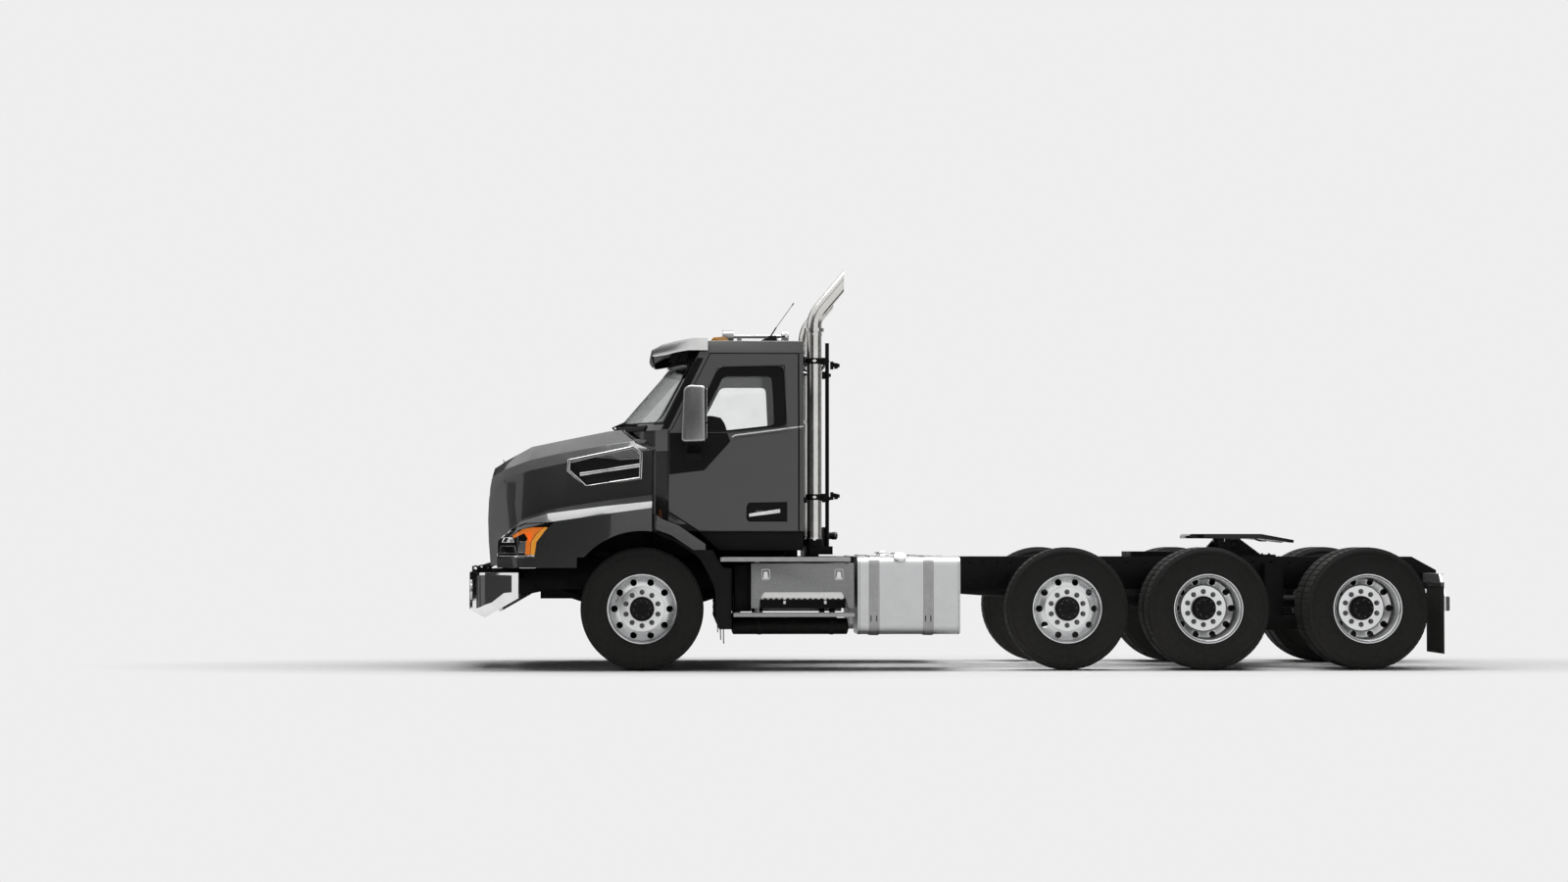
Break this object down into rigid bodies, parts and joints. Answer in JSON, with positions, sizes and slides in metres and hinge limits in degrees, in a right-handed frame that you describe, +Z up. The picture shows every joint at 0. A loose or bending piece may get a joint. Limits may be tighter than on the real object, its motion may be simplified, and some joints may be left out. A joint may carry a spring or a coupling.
{
  "type": "semi truck tractor unit",
  "caption": "Conventional day-cab road tractor with tilting hood, twin exhaust stacks, fifth wheel, lift axle and tandem drive.",
  "frame": {"origin": "on the ground under the middle of the truck's length and width", "axes": "+X rearwards along the truck, +Y to its right side, +Z up; it faces -X"},
  "size_m": [8.488, 2.86, 3.4397],
  "materials": {
    "body_paint": "metallic gloss",
    "black_trim": "grained",
    "frame_black": "satin",
    "chrome": "polished",
    "wheel_aluminium": "polished",
    "tank_aluminium": "brushed",
    "box_metal": "galvanised",
    "cast_metal": "painted",
    "tyre": "matt",
    "rubber": "matt",
    "glass": "clear",
    "amber": "clear lens",
    "red_lens": "clear lens",
    "lamp_black": "gloss",
    "interior": "grained",
    "seat_fabric": "woven"
  },
  "bodies": {
    "chassis": {"front_axle": "cast_metal", "frame_rails": "frame_black", "crossmembers": "frame_black", "front_bumper": "chrome", "engine": "cast_metal", "pusher_axle": "cast_metal", "drive_axles": "cast_metal", "drive_suspension": "frame_black", "cab_floor": "black_trim", "cab_front": "body_paint", "cab_back": "body_paint", "cab_roof": "body_paint", "cab_glass": "glass", "dashboard": "interior", "seats": "seat_fabric", "sun_visor": "chrome", "roof_lights": "amber", "air_horns": "chrome", "exhaust_stacks": "chrome", "stack_rack": "frame_black", "step_boxes": "box_metal", "air_tanks": "frame_black", "fuel_tanks": "tank_aluminium", "mudguards": "black_trim", "fifth_wheel_base": "cast_metal", "mud_flaps": "rubber", "tail_lamps": "red_lens", "fender_ends": "body_paint", "flap_hangers": "box_metal"},
    "hood": {"hood": "body_paint", "grille": "black_trim", "headlamps": "lamp_black", "hood_vents": "black_trim"},
    "fifth_wheel": {"fifth_wheel_plate": "cast_metal"},
    "tie_rod": {"tie_rod": "cast_metal"},
    "knuckle_left": {"knuckle_left": "cast_metal"},
    "door_left": {"door_left": "body_paint", "door_glass_left": "glass", "mirror_left": "chrome"},
    "front_wheel_left": {"tyre_front_left": "tyre", "wheel_front_left": "wheel_aluminium"},
    "pusher_wheel_left": {"tyre_pusher_left": "tyre", "wheel_pusher_left": "wheel_aluminium"},
    "drive_1_wheel_left": {"tyre_drive_1_left": "tyre", "wheel_drive_1_left": "wheel_aluminium"},
    "drive_2_wheel_left": {"tyre_drive_2_left": "tyre", "wheel_drive_2_left": "wheel_aluminium"},
    "knuckle_right": {"knuckle_right": "cast_metal"},
    "door_right": {"door_right": "body_paint", "door_glass_right": "glass", "mirror_right": "chrome"},
    "front_wheel_right": {"tyre_front_right": "tyre", "wheel_front_right": "wheel_aluminium"},
    "pusher_wheel_right": {"tyre_pusher_right": "tyre", "wheel_pusher_right": "wheel_aluminium"},
    "drive_1_wheel_right": {"tyre_drive_1_right": "tyre", "wheel_drive_1_right": "wheel_aluminium"},
    "drive_2_wheel_right": {"tyre_drive_2_right": "tyre", "wheel_drive_2_right": "wheel_aluminium"}
  },
  "joints": [
    {"name": "steer_left", "type": "hinge", "parent": "chassis", "child": "knuckle_left", "pos_m": [-2.736, -0.87, 0.525], "axis": [0, 0, 1], "range_deg": [-35, 35]},
    {"name": "door_left_hinge", "type": "hinge", "parent": "chassis", "child": "door_left", "pos_m": [-2.514, -1.081, 1.9], "axis": [0, 0, -1], "range_deg": [0, 70]},
    {"name": "front_wheel_left_spin", "type": "hinge", "parent": "knuckle_left", "child": "front_wheel_left", "pos_m": [-2.736, -1.03, 0.525], "axis": [0, 1, 0], "continuous": true},
    {"name": "pusher_wheel_left_spin", "type": "hinge", "parent": "chassis", "child": "pusher_wheel_left", "pos_m": [0.895, -1.03, 0.525], "axis": [0, 1, 0], "continuous": true},
    {"name": "drive_1_wheel_left_spin", "type": "hinge", "parent": "chassis", "child": "drive_1_wheel_left", "pos_m": [2.1, -0.915, 0.525], "axis": [0, 1, 0], "continuous": true},
    {"name": "drive_2_wheel_left_spin", "type": "hinge", "parent": "chassis", "child": "drive_2_wheel_left", "pos_m": [3.469, -0.915, 0.525], "axis": [0, 1, 0], "continuous": true},
    {"name": "steer_right", "type": "hinge", "parent": "chassis", "child": "knuckle_right", "pos_m": [-2.736, 0.87, 0.525], "axis": [0, 0, 1], "range_deg": [-35, 35]},
    {"name": "door_right_hinge", "type": "hinge", "parent": "chassis", "child": "door_right", "pos_m": [-2.514, 1.081, 1.9], "axis": [0, 0, 1], "range_deg": [0, 70]},
    {"name": "front_wheel_right_spin", "type": "hinge", "parent": "knuckle_right", "child": "front_wheel_right", "pos_m": [-2.736, 1.03, 0.525], "axis": [0, 1, 0], "continuous": true},
    {"name": "pusher_wheel_right_spin", "type": "hinge", "parent": "chassis", "child": "pusher_wheel_right", "pos_m": [0.895, 1.03, 0.525], "axis": [0, 1, 0], "continuous": true},
    {"name": "drive_1_wheel_right_spin", "type": "hinge", "parent": "chassis", "child": "drive_1_wheel_right", "pos_m": [2.1, 0.915, 0.525], "axis": [0, 1, 0], "continuous": true},
    {"name": "drive_2_wheel_right_spin", "type": "hinge", "parent": "chassis", "child": "drive_2_wheel_right", "pos_m": [3.469, 0.915, 0.525], "axis": [0, 1, 0], "continuous": true},
    {"name": "tie_rod_swing", "type": "hinge", "parent": "knuckle_left", "child": "tie_rod", "pos_m": [-2.536, -0.8, 0.386], "axis": [0, 0, 1], "range_deg": [-35, 35]},
    {"name": "hood_tilt", "type": "hinge", "parent": "chassis", "child": "hood", "pos_m": [-4.121, 0, 0.882], "axis": [0, -1, 0], "range_deg": [0, 70]},
    {"name": "fifth_wheel_rock", "type": "hinge", "parent": "chassis", "child": "fifth_wheel", "pos_m": [2.464, 0, 1.07], "axis": [0, 1, 0], "range_deg": [-10, 10]}
  ],
  "couplings": [
    {"joint": "steer_right", "follows": "steer_left", "ratio": 1},
    {"joint": "tie_rod_swing", "follows": "steer_left", "ratio": -1}
  ]
}
